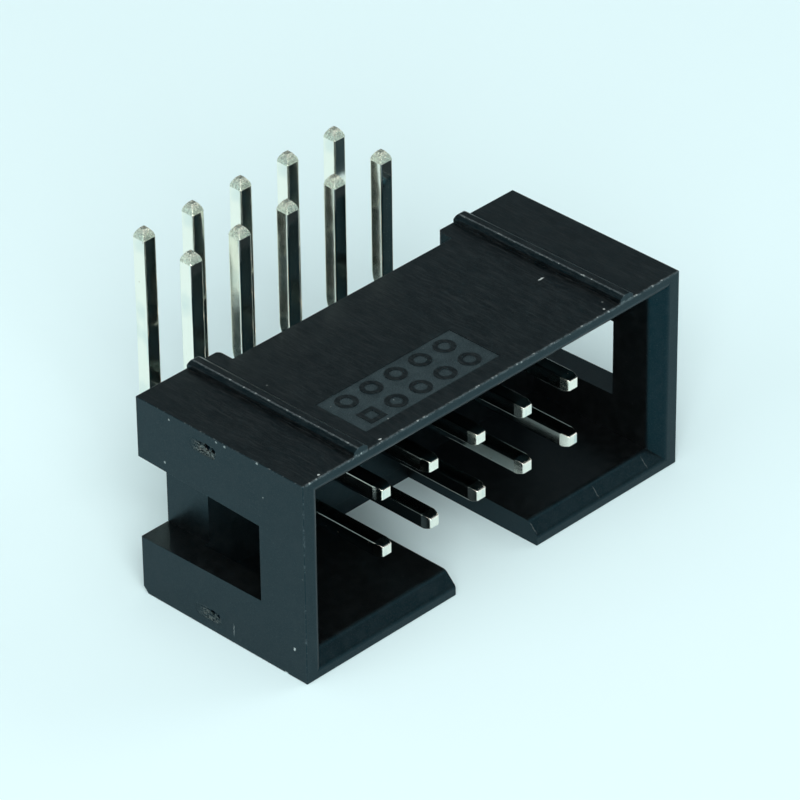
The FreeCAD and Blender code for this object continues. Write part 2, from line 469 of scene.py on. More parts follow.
def build_streak_group():
    """Fine lines drawn out along Y, as left by the cutter on the mould, gently bent."""
    group, given, results = new_group(
        "Drawn Streaks", [("Across", 0.05 * MM), ("Along", 1.1 * MM), ("Bend", 0.07 * MM)],
        [("Streak", "NodeSocketFloat")],
    )
    wander = noise_cloud(group, object_place(group), 0.45 / MM, 2.0)["Fac"]
    centred = math_node(group, "SUBTRACT", wander, 0.5)
    shift = math_node(group, "MULTIPLY", centred, given["Bend"])
    axes = object_axes(group)
    side = math_node(group, "MULTIPLY_ADD", shift, 6.0, axes["X"])
    stretched = new_node(group, "ShaderNodeCombineXYZ", {
        "X": math_node(group, "DIVIDE", side, given["Across"]),
        "Y": math_node(group, "DIVIDE", axes["Y"], given["Along"]),
        "Z": math_node(group, "DIVIDE", axes["Z"], given["Across"]),
    })
    cloud = noise_cloud(group, stretched.outputs["Vector"], 1.0, 3.0, 0.65)
    feed(group, cloud["Fac"], results["Streak"])


def build_edge_group():
    """Softened edges, and a mask that is 1 on them."""
    group, given, results = new_group(
        "Soft Edges", [("Radius", 0.045 * MM), ("Reach", 0.25)],
        [("Normal", "NodeSocketVector"), ("Edge", "NodeSocketFloat")],
    )
    soft = new_node(group, "ShaderNodeBevel", {"Radius": given["Radius"]}, samples=8).outputs["Normal"]
    plain = new_node(group, "ShaderNodeNewGeometry").outputs["Normal"]
    likeness = vector_math(group, "DOT_PRODUCT", soft, plain, output="Value")
    turn = math_node(group, "SUBTRACT", 1.0, likeness)
    mask = math_node(group, "DIVIDE", turn, given["Reach"], clamp=True)
    feed(group, soft, results["Normal"])
    feed(group, mask, results["Edge"])


def build_fleck_group():
    """Sparse round flecks: one in a few cells of the given size."""
    group, given, results = new_group(
        "Flecks", [("Cell", 0.22 * MM), ("Share", 0.3), ("Spot", 0.3)],
        [("Fleck", "NodeSocketFloat")],
    )
    density = math_node(group, "DIVIDE", 1.0, given["Cell"])
    cells = new_node(group, "ShaderNodeTexVoronoi", {
        "Vector": object_place(group), "Scale": density,
    }, voronoi_dimensions="3D").outputs
    pick = new_node(group, "ShaderNodeSeparateColor", {"Color": cells["Color"]}).outputs
    chosen = math_node(group, "LESS_THAN", pick["Red"], given["Share"])
    size = math_node(group, "MULTIPLY", pick["Green"], given["Spot"])
    near = math_node(group, "SUBTRACT", size, cells["Distance"])
    spot = math_node(group, "MULTIPLY", near, 12.0, clamp=True)
    feed(group, math_node(group, "MULTIPLY", spot, chosen), results["Fleck"])


def build_line_group():
    """Mask that is 1 on a straight edge and falls to 0 at the reach from it."""
    group, given, results = new_group(
        "Edge Line",
        [("First", 0.0), ("First Line", 0.0), ("Second", 0.0), ("Second Line", 0.0), ("Reach", 0.1 * MM)],
        [("Mask", "NodeSocketFloat")],
    )
    squares = []
    for axis in ("First", "Second"):
        aside = math_node(group, "SUBTRACT", given[axis], given[axis + " Line"])
        squares.append(math_node(group, "MULTIPLY", aside, aside))
    distance = math_node(group, "SQRT", math_node(group, "ADD", *squares))
    share = math_node(group, "DIVIDE", distance, given["Reach"])
    feed(group, math_node(group, "SUBTRACT", 1.0, share, clamp=True), results["Mask"])


def build_mark_group():
    """Mask of one oval mark with a ragged outline."""
    group, given, results = new_group(
        "Oval Mark", [("Place", None), ("Half Size", None)], [("Mask", "NodeSocketFloat")],
    )
    here = object_place(group)
    cloud = noise_cloud(group, here, 14.0 / MM, 1.0)["Color"]
    centred = vector_math(group, "SUBTRACT", cloud, (0.5, 0.5, 0.5))
    moved = vector_math(group, "ADD", here, scale_vector(group, centred, 0.09 * MM))
    aside = vector_math(group, "SUBTRACT", moved, given["Place"])
    share = vector_math(group, "DIVIDE", aside, given["Half Size"])
    within = math_node(group, "SUBTRACT", 1.0, vector_math(group, "LENGTH", share, output="Value"))
    feed(group, math_node(group, "MULTIPLY", within, 2.5, clamp=True), results["Mask"])


GROUP_BUILDERS = {
    "Moulded Grain": build_grain_group,
    "Drawn Streaks": build_streak_group,
    "Soft Edges": build_edge_group,
    "Flecks": build_fleck_group,
    "Edge Line": build_line_group,
    "Oval Mark": build_mark_group,
}


def new_material(name):
    """Empty node material with a Principled shader, and the groups that materials share."""
    for group_name, build in GROUP_BUILDERS.items():
        if group_name not in bpy.data.node_groups:
            build()
    material = bpy.data.materials.new(name)
    material.use_nodes = True
    tree = material.node_tree
    return material, tree, tree.nodes["Principled BSDF"]


def inside_box(tree, low, high):
    """Value that is 1 inside a box of object coordinates."""
    total = None
    for place, low_side, high_side in zip(object_axes(tree), low, high):
        above = math_node(tree, "GREATER_THAN", place, low_side)
        below = math_node(tree, "LESS_THAN", place, high_side)
        both = math_node(tree, "MULTIPLY", above, below)
        total = both if total is None else math_node(tree, "MULTIPLY", total, both)
    return total


def highest(tree, masks):
    """Largest of several masks, each times its weight."""
    top = None
    for mask, weight in masks:
        weighed = math_node(tree, "MULTIPLY", mask, weight)
        top = weighed if top is None else math_node(tree, "MAXIMUM", top, weighed)
    return top


def worn_and_highlit_edges(tree, marking):
    """Masks of the worn flash and of the nicks along the housing's long edges, partly painted highlight on
    the ribs' left crests and the upright mouth corners.
    """
    x, y, z = object_axes(tree)
    either_side = math_node(tree, "ABSOLUTE", x)
    mouth, rear = HOUSING_LOW.y, HOUSING_HIGH.y
    end, wall, crest = HOUSING_HIGH.x, marking.board_side, HOUSING_HIGH.z
    half_crest = marking.rib_crest / 2
    # Two coordinates and where they meet in an edge, then its reach and its share of flash and of nicks
    lines = [
        (y, mouth, z, wall, 0.13 * MM, 0.7, 0.85),
        (either_side, end, z, wall, 0.09 * MM, 0.4, 0.5),
        # Flash on the upright mouth corners is partly real and partly painted highlight that lifts the dark
        # line the shading leaves along them
        (either_side, end, y, mouth, 0.1 * MM, 0.4, 0.2),
        (y, rear, z, wall, 0.07 * MM, 0.35, 0.4),
        (either_side, end, z, 0.0, 0.1 * MM, 0.4, 0.55),
        (y, mouth, z, 0.0, 0.1 * MM, 0.4, 0.45),
    ]
    # Each rib's left crest edge takes far more flash and nicks than its right one: painted highlight for
    # light falling from the left
    for centre in (-marking.rib_place, marking.rib_place):
        lines.append((x, centre - half_crest, z, crest, 0.075 * MM, 0.8, 0.8))
        lines.append((x, centre + half_crest, z, crest, 0.06 * MM, 0.15, 0.1))
    flash_and_highlight_lines, nicks_and_highlights = [], []
    for first, first_line, second, second_line, reach, flash_and_highlight, nick_and_highlight in lines:
        mask = place_group(tree, "Edge Line", {
            "First": first, "First Line": first_line,
            "Second": second, "Second Line": second_line, "Reach": reach,
        })["Mask"]
        flash_and_highlight_lines.append((mask, flash_and_highlight))
        nicks_and_highlights.append((mask, nick_and_highlight))
    return highest(tree, flash_and_highlight_lines), highest(tree, nicks_and_highlights)


def field_box(marking, around, bottom, top):
    """Box round the marking field, between two heights."""
    half_length = marking.size[0] / 2 + around
    half_width = marking.size[1] / 2 + around
    return ((marking.centre[0] - half_length, marking.centre[1] - half_width, bottom),
            (marking.centre[0] + half_length, marking.centre[1] + half_width, top))


def crisp_boxes(marking, gates):
    """Boxes round the marking field, the mouth, its upright corners, the ribs' right edges and the gates."""
    around = 0.12 * MM
    rim = 0.3 * MM
    wall, mouth = marking.board_side, HOUSING_LOW.y
    boxes = [
        field_box(marking, around, wall - around, wall + around),
        ((HOUSING_LOW.x + rim, mouth - around, rim), (HOUSING_HIGH.x - rim, mouth + 2 * rim, wall - rim)),
    ]
    for end in (HOUSING_LOW.x, HOUSING_HIGH.x):
        boxes.append(((end - around, mouth - around, 0.0),
                      (end + around, mouth + around, wall - around / 2)))
    for centre in (-marking.rib_place, marking.rib_place):
        boxes.append(((centre, mouth, wall + around / 2),
                      (centre + 3 * around, HOUSING_HIGH.y, HOUSING_HIGH.z + around)))
    gate_y = mouth + gates.from_mouth
    half_y = gates.length / 2 + around
    half_z = gates.width / 2 + around
    for gate_z in (gates.from_edge, wall - gates.from_edge):
        boxes.append(((HOUSING_LOW.x - around, gate_y - half_y, gate_z - half_z),
                      (HOUSING_LOW.x + around, gate_y + half_y, gate_z + half_z)))
    return boxes


def plain_normal(tree, marking, gates, softened):
    """Softened normal, but the plain one where forms lie flush and at the sharpest edges."""
    boxes = crisp_boxes(marking, gates)
    region = highest(tree, [(inside_box(tree, low, high), 1.0) for low, high in boxes])
    plain = new_node(tree, "ShaderNodeNewGeometry").outputs["Normal"]
    inputs = {0: region, VECTOR_FIRST: softened, VECTOR_SECOND: plain}
    return new_node(tree, "ShaderNodeMix", inputs, data_type="VECTOR").outputs[VECTOR_RESULT]


def moulded_material(name, look, marking, gates):
    """Filled black plastic: grain, mottle and cutter streaks on the board side, and worn edges."""
    material, tree, shader = new_material(name)
    shader.inputs["Specular IOR Level"].default_value = look.gloss
    shader.inputs["Specular Tint"].default_value = (*look.gloss_tint, 1)
    grain = place_group(tree, "Moulded Grain", {"Grain Size": 0.045 * MM, "Mottle Size": 0.45 * MM})
    streak = place_group(tree, "Drawn Streaks", {"Across": 0.06 * MM, "Along": 0.8 * MM})["Streak"]
    edges = place_group(tree, "Soft Edges", {"Radius": look.edge_softness})
    halfway_down = marking.board_side - marking.sink / 2
    board_side = math_node(tree, "GREATER_THAN", object_axes(tree)["Z"], halfway_down)
    field = inside_box(tree, *field_box(marking, 0.0, halfway_down - marking.sink, halfway_down))

    # The etched field is paler and duller than the wall round it
    base = mix_colours(tree, field, look.shade, look.field_shade)
    rough = remap(tree, grain["Mottle"], 0.3, 0.7, look.roughness - 0.04, look.roughness + 0.05)
    feed(tree, math_node(tree, "MULTIPLY_ADD", field, 0.25, rough), shader.inputs["Roughness"])

    # Mottle and grain everywhere, and streaks on the board side
    mottle = remap(tree, grain["Mottle"], 0.3, 0.7, 0.75, 1.25)
    fine = remap(tree, grain["Grain"], 0.3, 0.7, 0.5, 1.5)
    lines = remap(tree, streak, 0.35, 0.65, -1.0, 1.3)
    line_gain = math_node(tree, "MULTIPLY_ADD", lines, board_side, 1.0)
    even_gain = math_node(tree, "MULTIPLY", mottle, fine)
    tone = scale_vector(tree, base, math_node(tree, "MULTIPLY", even_gain, line_gain))
    colour = worn_and_highlit_colour(tree, look, marking, grain, streak, board_side, edges["Edge"], tone)
    feed(tree, colour, shader.inputs["Base Color"])

    streak_height = math_node(tree, "MULTIPLY", streak, board_side)
    height = math_node(tree, "MULTIPLY_ADD", streak_height, 0.5, grain["Grain"])
    normal = plain_normal(tree, marking, gates, edges["Normal"])
    add_bump(tree, height, shader, 0.35, 0.005 * MM, normal)
    return material


def worn_and_highlit_colour(tree, look, marking, grain, streak, board_side, edge, tone):
    """Colour of the plastic with its worn flash, nicks, specks and single marks, and painted highlight along
    its edges and the ribs' left crests.
    """
    flash_and_highlight, nicks_and_highlights = worn_and_highlit_edges(tree, marking)
    wear = place_group(tree, "Moulded Grain", {"Grain Size": 0.12 * MM, "Mottle Size": 0.9 * MM})

    # Worn flash, broken up by the wear and speckled by the grain; on the ribs' left crests and the upright
    # mouth corners it is partly painted highlight
    threshold = remap(tree, wear["Grain"], 0.3, 0.7, 0.05, 0.65)
    over = math_node(tree, "SUBTRACT", flash_and_highlight, threshold)
    flash_and_highlight_mask = math_node(tree, "MULTIPLY", over, 5.0, clamp=True)
    speckle = remap(tree, grain["Grain"], 0.35, 0.65, 0.35, 1.0)
    flashed_and_highlighted = mix_colours(tree, math_node(tree, "MULTIPLY", flash_and_highlight_mask, speckle), tone, look.flash_and_highlight_shade)

    # Nicks in clusters along the edges, crowded on the ribs' left crests as painted highlight
    flecks = place_group(tree, "Flecks", {"Cell": look.nick_size, "Share": 0.5, "Spot": 0.6})["Fleck"]
    sharp_nicks_and_highlights = remap(tree, nicks_and_highlights, 0.3, 0.6)
    clusters = remap(tree, wear["Mottle"], 0.42, 0.6, 0.25, 1.0)
    clustered = math_node(tree, "MULTIPLY", sharp_nicks_and_highlights, clusters)
    on_line = math_node(tree, "MULTIPLY", clustered, flecks)
    on_edge = math_node(tree, "MULTIPLY", edge, flecks)

    # Dust, specks, grit and a faint film on the faces, pale hatching on the board side, and a faint pale
    # line along every edge that is painted highlight
    dust = place_group(tree, "Flecks", {"Cell": 1.3 * MM, "Share": 0.2, "Spot": 0.045})["Fleck"]
    specks = place_group(tree, "Flecks", {"Cell": 0.33 * MM, "Share": 0.35, "Spot": 0.16})["Fleck"]
    grit = remap(tree, grain["Grain"], 0.5, 0.75)
    film = remap(tree, grain["Mottle"], 0.45, 0.7)
    hatch = math_node(tree, "MULTIPLY", remap(tree, streak, 0.48, 0.68), board_side)
    masks = [
        (on_line, 0.62), (on_edge, 0.1), (dust, 0.5), (specks, 0.03),
        (grit, 0.03), (film, 0.01), (hatch, 0.024), (flash_and_highlight, 0.05),
    ]
    for place, half_size, strength in MARKS:
        mark = place_group(tree, "Oval Mark", {
            "Place": [MM * value for value in place], "Half Size": [MM * value for value in half_size],
        })["Mask"]
        masks.append((mark, strength))
    return mix_colours(tree, highest(tree, masks), flashed_and_highlighted, look.nick_and_highlight_shade)


def torn_material(look, plastic):
    """Torn plastic of a gate: the housing's own black, pale and dull where it was stretched, with painted
    shade that blackens its pits.
    """
    material, tree, shader = new_material("torn_plastic")
    shader.inputs["Specular IOR Level"].default_value = plastic.gloss
    shader.inputs["Specular Tint"].default_value = (*plastic.gloss_tint, 1)
    stretched, torn, pit = [
        new_node(tree, "ShaderNodeAttribute", attribute_name=name).outputs["Fac"] for name in TORN_LAYERS
    ]
    grain = place_group(tree, "Moulded Grain", {"Grain Size": 0.07 * MM, "Mottle Size": 0.2 * MM})["Grain"]
    pale = math_node(tree, "MULTIPLY", stretched, remap(tree, grain, 0.4, 0.6, 0.05, 1.0))
    feed(tree, mix_colours(tree, pale, plastic.shade, look.stretched_shade), shader.inputs["Base Color"])

    # The pits are made a metal with no colour, which mirrors nothing: painted shade for the shadow in pits
    # too shallow to cast it
    ragged = math_node(tree, "MULTIPLY_ADD", grain, -1.6, 0.8)
    cracked = math_node(tree, "MULTIPLY_ADD", torn, 0.42, ragged)
    pit_shade = math_node(tree, "ADD", cracked, pit)
    feed(tree, remap(tree, pit_shade, 0.3, 0.5), shader.inputs["Metallic"])

    feed(tree, remap(tree, torn, 0.0, 0.5, plastic.roughness, 0.6), shader.inputs["Roughness"])
    add_bump(tree, math_node(tree, "MULTIPLY", grain, torn), shader, 1.0, 0.02 * MM)
    return material


def plated_material(name, plating, roughness, unevenness):
    """Bright pale plating over drawn wire, with lines along the wire, faint clouds and dull flecks."""
    material, tree, shader = new_material(name)
    shader.inputs["Metallic"].default_value = 1.0
    grain_size = (0.035 + 0.045 * unevenness) * MM
    grain = place_group(tree, "Moulded Grain", {"Grain Size": grain_size, "Mottle Size": 0.4 * MM})
    flecks = place_group(tree, "Flecks", {"Cell": 0.32 * MM, "Share": 0.12, "Spot": 0.16})["Fleck"]
    along = new_node(tree, "ShaderNodeUVMap", uv_map="Wire").outputs["UV"]
    clouds = []
    # Waves in a millimetre across and along the wire, of the drawn lines and of the haze
    for across, lengthwise in ((22, 0.8), (2.4, 0.45)):
        stretched = new_node(tree, "ShaderNodeMapping", {
            "Vector": along, "Scale": (across / MM, lengthwise / MM, 1),
        })
        clouds.append(noise_cloud(tree, stretched.outputs["Vector"], 1.0, 3.0)["Fac"])
    lines, haze = clouds

    haze_tint, fleck_shade = (0.7, 0.8, 0.86), (0.3, 0.27, 0.2)
    dulled = tuple(channel * tint for channel, tint in zip(plating, haze_tint))
    hazed = mix_colours(tree, remap(tree, haze, 0.5, 0.72), plating, dulled)
    spotted = mix_colours(tree, flecks, hazed, fleck_shade)
    speckle = remap(tree, grain["Grain"], 0.38, 0.6, 1.0 - 0.4 * unevenness, 1.0)
    feed(tree, scale_vector(tree, spotted, speckle), shader.inputs["Base Color"])

    rough = remap(tree, grain["Mottle"], 0.3, 0.75, roughness, roughness * 1.5)
    feed(tree, math_node(tree, "MULTIPLY_ADD", flecks, 0.3, rough), shader.inputs["Roughness"])
    height = math_node(tree, "MULTIPLY_ADD", grain["Grain"], 4.0 * unevenness, lines)
    add_bump(tree, height, shader, 0.3 + 0.5 * unevenness, (0.003 + 0.009 * unevenness) * MM)
    return material


def dress(piece, *materials):
    """Replaces a piece's materials and keeps which face takes which."""
    slots = piece.data.materials
    while len(slots) > len(materials):
        slots.pop()
    for place, material in enumerate(materials):
        if place < len(slots):
            slots[place] = material
        else:
            slots.append(material)


def add_piece(name, mesh):
    """Links a mesh as a piece that rides with the part."""
    piece = bpy.data.objects.new(name, mesh)
    bpy.context.scene.collection.objects.link(piece)
    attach(piece, "root")
    return piece


def finished_mesh(bm, name):
    """Mesh of what was built, which is then let go."""
    mesh = bpy.data.meshes.new(name)
    bm.to_mesh(mesh)
    bm.free()
    return mesh


def wire_ring(centre, across, size, corner):
    """Points round a rounded square section that X and the direction across span."""
    segments = 4
    radius = min(corner, 0.45 * size)
    inner = size / 2 - radius
    # Gap between a corner's arc and the points that keep the flat beside it flat
    support = min(0.012 * MM, 0.5 * inner)
    points = []
    for quarter in range(4):
        turn = Matrix.Rotation(quarter * math.pi / 2, 2)
        local = [Vector((size / 2, support - inner)), Vector((size / 2, inner - support))]
        for step in range(segments + 1):
            angle = step * math.pi / 2 / segments
            local.append(Vector((inner + radius * math.cos(angle), inner + radius * math.sin(angle))))
        points += [turn @ point for point in local]
    return [centre + Vector((p.x, 0, 0)) + across * p.y for p in points]


def coined_sections(tip, taper, size, look):
    """Depth, width, corner radius and crease of each section of a coined end, from its tip."""
    shoulder = (size + tip) / 2 + look.shoulder_swell * (size - tip)
    yield 0, tip - 2 * look.tip_softening, look.coined_corner, True
    yield look.tip_softening, tip, look.coined_corner, False
    for share in (0.25, 0.5, 0.75, 1.0):
        if share <= 0.5:
            width = tip + (shoulder - tip) * 2 * share
        else:
            width = shoulder + (size - shoulder) * (2 * share - 1)
        corner = look.corner if share == 1.0 else look.coined_corner
        yield taper * share, width, corner, share == 1.0


def pin_stations(node, look):
    """Sections of a pin from its contact tip to the tip of its solder tail."""
    low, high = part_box(node)
    size = high.x - low.x
    x = (low.x + high.x) / 2
    row = low.z + size / 2
    tail = high.y - size / 2
    reach = look.bend_radius + size / 2
    up = Vector((0, 0, 1))
    back = Vector((0, 1, 0))
    run_steps, bend_steps, rise_steps = 10, 14, 8

    # Coined contact end
    stations = []
    for depth, width, corner, crease in coined_sections(look.contact_tip, look.contact_taper, size, look):
        finish = SOCKET_FINISH if depth == look.contact_taper else CONTACT_FINISH
        centre = Vector((x, low.y + depth, row))
        stations.append(Station(centre, up, width, corner, finish, crease))

    # Run through the socket and its base, then the bend
    run_start = low.y + look.contact_taper
    run_end = tail - reach
    for step in range(1, run_steps + 1):
        y = run_start + (run_end - run_start) * step / run_steps
        finish = SOCKET_FINISH if y < look.socket_floor else WIRE_FINISH
        stations.append(Station(Vector((x, y, row)), up, size, look.corner, finish, False))
    for step in range(1, bend_steps + 1):
        angle = step * math.pi / 2 / bend_steps
        centre = Vector((x, run_end + reach * math.sin(angle), row + reach * (1 - math.cos(angle))))
        across = up * math.cos(angle) - back * math.sin(angle)
        stations.append(Station(centre, across, size, look.corner, WIRE_FINISH, False))

    # Rise to the coined solder end
    rise_start = row + reach
    rise_end = high.z - look.tail_taper
    for step in range(1, rise_steps):
        z = rise_start + (rise_end - rise_start) * step / rise_steps
        stations.append(Station(Vector((x, tail, z)), -back, size, look.corner, WIRE_FINISH, False))
    tail_sections = list(coined_sections(look.tail_tip, look.tail_taper, size, look))
    for depth, width, corner, crease in reversed(tail_sections):
        centre = Vector((x, tail, high.z - depth))
        stations.append(Station(centre, -back, width, corner, SOLDER_FINISH, crease))
    return stations


def coined_points(points, station, look, offset):
    """Points of a coined section, drawn in unevenly towards the middle of the wire."""
    grain = 0.12 * MM
    most = look.coining / (station.size / 2)
    return [point.lerp(station.centre, abs(noise.noise(point / grain + offset)) * most) for point in points]


def wire_mesh(name, stations, look, seed):
    """Mesh of one pin: rounded square rings joined along the wire, closed at both coined ends."""
    bm = bmesh.new()
    wire = bm.loops.layers.uv.new("Wire")
    chance = random.Random(seed)
    offset = Vector([chance.uniform(0, 50) for axis in range(3)])
    rings, travel, distance = [], [], 0.0
    for place, station in enumerate(stations):
        if place:
            distance += (station.centre - stations[place - 1].centre).length
        travel.append(distance)
        points = wire_ring(station.centre, station.across, station.size, station.corner)
        if station.finish == SOLDER_FINISH:
            points = coined_points(points, station, look, offset)
        rings.append([bm.verts.new(point) for point in points])
    girth = 4 * stations[len(stations) // 2].size
    for place in range(len(rings) - 1):
        join_rings(bm, rings[place:place + 2], travel[place:place + 2], girth, stations[place].finish, wire)
    close_contact(bm, rings[0], wire)
    close_tail(bm, rings[-1], stations[-1].centre, look, wire)
    bmesh.ops.recalc_face_normals(bm, faces=bm.faces)
    for face in bm.faces:
        face.smooth = True
    for ring, station in zip(rings, stations):
        if station.crease:
            for corner, following in zip(ring, ring[1:] + ring[:1]):
                bm.edges.get((corner, following)).smooth = False
    return finished_mesh(bm, name)


def join_rings(bm, rings, travel, girth, finish, wire):
    """Faces from one ring to the next, unrolled in the wire's own coordinates: round it and along it."""
    near, far = rings
    around = len(near)
    for step in range(around):
        following = (step + 1) % around
        face = bm.faces.new([near[step], near[following], far[following], far[step]])
        face.material_index = finish
        shares = (step / around, (step + 1) / around, (step + 1) / around, step / around)
        lengths = (travel[0], travel[0], travel[1], travel[1])
        for loop, share, length in zip(face.loops, shares, lengths):
            loop[wire].uv = (share * girth, length)


def close_contact(bm, ring, wire):
    """Closes the contact tip with one flat face."""
    cap = bm.faces.new(ring[::-1])
    cap.material_index = CONTACT_FINISH
    for loop in cap.loops:
        loop[wire].uv = (loop.vert.co.x, loop.vert.co.z)


def close_tail(bm, ring, centre, look, wire):
    """Closes the solder tip with a flat that has a small pit."""
    pit_share = 0.42
    inner = [bm.verts.new(centre.lerp(corner.co, pit_share)) for corner in ring]
    bottom = bm.verts.new(centre - Vector((0, 0, look.tip_pit)))
    faces = []
    for step, corner in enumerate(ring):
        after = (step + 1) % len(ring)
        faces.append(bm.faces.new([corner, ring[after], inner[after], inner[step]]))
        faces.append(bm.faces.new([inner[step], inner[after], bottom]))
    for face in faces:
        face.material_index = SOLDER_FINISH
        for loop in face.loops:
            loop[wire].uv = (loop.vert.co.x, loop.vert.co.y)


def housing_plastic(scene):
    """The one material that the housing shares with the raised marking."""
    name = "filled_black_plastic"
    if name in bpy.data.materials:
        return bpy.data.materials[name]
    return moulded_material(name, scene.header_housing, scene.header_marking, scene.header_gates)


class BOXHEADER_OT_housing(bpy.types.Operator):
    """Gives the moulded housing its black filled plastic"""

    bl_idname = "boxheader.finish_housing"
    bl_label = "Finish Housing"

    def execute(self, context):
        dress(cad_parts["housing"], housing_plastic(context.scene))
        return {"FINISHED"}


class BOXHEADER_OT_marking(bpy.types.Operator):
    """Stands a pictogram of the contacts in the marking field"""

    bl_idname = "boxheader.add_marking"
    bl_label = "Add Marking"

    def execute(self, context):
        look = context.scene.header_marking
        bm = bmesh.new()
        rows = 2
        for column in range(look.columns):
            for row in range(rows):
                x = look.centre[0] + (column - (look.columns - 1) / 2) * look.spacing
                y = look.centre[1] + (row - (rows - 1) / 2) * look.spacing
                add_ring(bm, x, y, look, square=(column == 0 and row == 0))
        piece = add_piece("marking_rings", finished_mesh(bm, "marking_rings"))
        dress(piece, housing_plastic(context.scene))
        return {"FINISHED"}


def add_ring(bm, x, y, look, square):
    """Adds one closed ring, or a square one for the first contact, level with the wall round the field."""
    corners = 4 if square else 40
    diagonal = 2 ** 0.5 if square else 1.0
    narrowing = 0.92 if square else 1.0
    seat = 0.004 * MM
    top = look.board_side
    bottom = look.board_side - look.sink - seat
    outer = look.ring_radius * (diagonal * narrowing)
    inner = outer - look.stroke * diagonal
    profile = [(outer, bottom), (outer, top), (inner, top), (inner, bottom)]
    loops = []
    for step in range(corners):
        angle = math.pi / 4 + step * 2 * math.pi / corners
        ray = Vector((math.cos(angle), math.sin(angle), 0))
        loops.append([bm.verts.new(Vector((x, y, z)) + ray * radius) for radius, z in profile])
    for step in range(corners):
        following = loops[(step + 1) % corners]
        for place in range(len(profile)):
            after = (place + 1) % len(profile)
            bm.faces.new([loops[step][place], following[place], following[after], loops[step][after]])
    bmesh.ops.recalc_face_normals(bm, faces=bm.faces)


class BOXHEADER_OT_gates(bpy.types.Operator):
    """Fills the pockets of the left end face with torn plastic"""

    bl_idname = "boxheader.add_gates"
    bl_label = "Add Torn Gates"

    def execute(self, context):
        look = context.scene.header_gates
        marking = context.scene.header_marking
        material = torn_material(look, context.scene.header_housing)
        gates = {"lower": (look.from_edge, 0.55), "upper": (marking.board_side - look.from_edge, 1.0)}
        for seed, (place, (z, tearing)) in enumerate(gates.items()):
            name = "torn_gate_" + place
            piece = add_piece(name, torn_mesh(name, look, z, seed, tearing))
            dress(piece, material)
        return {"FINISHED"}


def torn_surface(along, aside, tearing, origin):
    """Depth, paleness, tearing and pit, all 0 to 1, at a place from -1, at the mouth end, to 1."""
    tear = noise.fractal(Vector((along * 1.6, aside * 3.2, 0)) + origin, 0.8, 2.0, 4)
    flake = noise.noise(Vector((along * 5, aside * 2.2, 4)) + origin)
    # Nothing is torn at the rim of the pocket
    edge = max(0.0, 1 - max(abs(along), abs(aside)) ** 6)
    pit = 0.0
    for pit_along, pit_aside in TORN_PITS:
        share_along = (along - pit_along) / TORN_PIT_REACH[0]
        share_aside = (aside - pit_aside) / TORN_PIT_REACH[1]
        pit = max(pit, math.exp(-share_along ** 2 - share_aside ** 2) + 0.6 * flake)
    pit = min(1.0, max(0.0, 1.5 * pit - 0.25)) * tearing * edge
    # The tearing fades towards the rear end of the gate
    torn = min(1.0, max(0.0, (0.95 - along) / 0.8)) * edge * tearing
    depth = (0.3 + 0.5 * tear) * torn + pit
    ridge = min(1.0, max(0.0, 0.5 + 0.9 * tear + 0.35 * flake - 0.3 * aside))
    pale = ridge * torn * max(0.0, 1 - 2.5 * pit)
    return min(0.92, max(0.03, depth)), pale, torn, pit


def torn_mesh(name, look, z, seed, tearing):
    """Closed rough patch with round ends that fills one pocket and reaches a little past its rim."""
    columns, rows = 92, 36
    overlap, seat, narrowest = 0.012 * MM, 0.002 * MM, 0.02 * MM
    face_x = HOUSING_LOW.x
    floor_x = face_x + look.depth - seat
    middle_y = HOUSING_LOW.y + look.from_mouth
    half_width = look.width / 2 + overlap
    length = look.length + 2 * overlap
    run = length / 2 - half_width
    origin = Vector((seed * 7.3, seed * 3.1, 0))
    bm = bmesh.new()
    for layer_name in TORN_LAYERS:
        bm.verts.layers.float.new(layer_name)
    layers = [bm.verts.layers.float[layer_name] for layer_name in TORN_LAYERS]
    grid = []
    for column in range(columns + 1):
        along = (column / columns - 0.5) * length
        over = max(0.0, abs(along) - run)
        reach = max(math.sqrt(max(0.0, half_width ** 2 - over ** 2)), narrowest)
        line = []
        for row in range(rows + 1):
            aside = (row / rows * 2 - 1) * reach
            depth, *shares = torn_surface(2 * along / length, aside / half_width, tearing, origin)
            corner = bm.verts.new((face_x + look.depth * depth, middle_y + along, z + aside))
            for layer, share in zip(layers, shares):
                corner[layer] = share
            line.append(corner)
        grid.append(line)
    for column in range(columns):
        for row in range(rows):
            bm.faces.new([grid[column][row], grid[column + 1][row],
                          grid[column + 1][row + 1], grid[column][row + 1]])
    near = [line[0] for line in grid]
    far = [line[rows] for line in grid]
    outline = near + grid[columns][1:rows] + far[::-1] + grid[0][rows - 1:0:-1]
    back = [bm.verts.new((floor_x, front.co.y, front.co.z)) for front in outline]
    for place, front in enumerate(outline):
        after = (place + 1) % len(outline)
        bm.faces.new([front, outline[after], back[after], back[place]])
    bm.faces.new(back)
    bmesh.ops.recalc_face_normals(bm, faces=bm.faces)
    mesh = finished_mesh(bm, name)
    mesh.shade_smooth()
    mesh.set_sharp_from_angle(angle=math.radians(50))
    return mesh


class BOXHEADER_OT_pins(bpy.types.Operator):
    """Draws the plated pins with rounded corners and coined ends"""

    bl_idname = "boxheader.draw_pins"
    bl_label = "Draw Pins"

    def execute(self, context):
        look = context.scene.header_pins
        finishes = (
            plated_material("plated_wire", look.plating, look.roughness, 0.0),
            plated_material("plated_contact", look.plating, look.roughness, 0.25),
            plated_material("plated_solder_end", look.coined_plating, look.coined_roughness, 1.0),
            # The runs inside the socket take the darker plating as painted shade
            plated_material("plated_socket_run", look.socket_shade_plating, look.dull_roughness, 0.0),
        )
        for seed, node in enumerate(PIN_NODES):
            name = node + "_wire"
            piece = add_piece(name, wire_mesh(name, pin_stations(node, look), look, seed))
            dress(piece, *finishes)
            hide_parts(node)
        return {"FINISHED"}


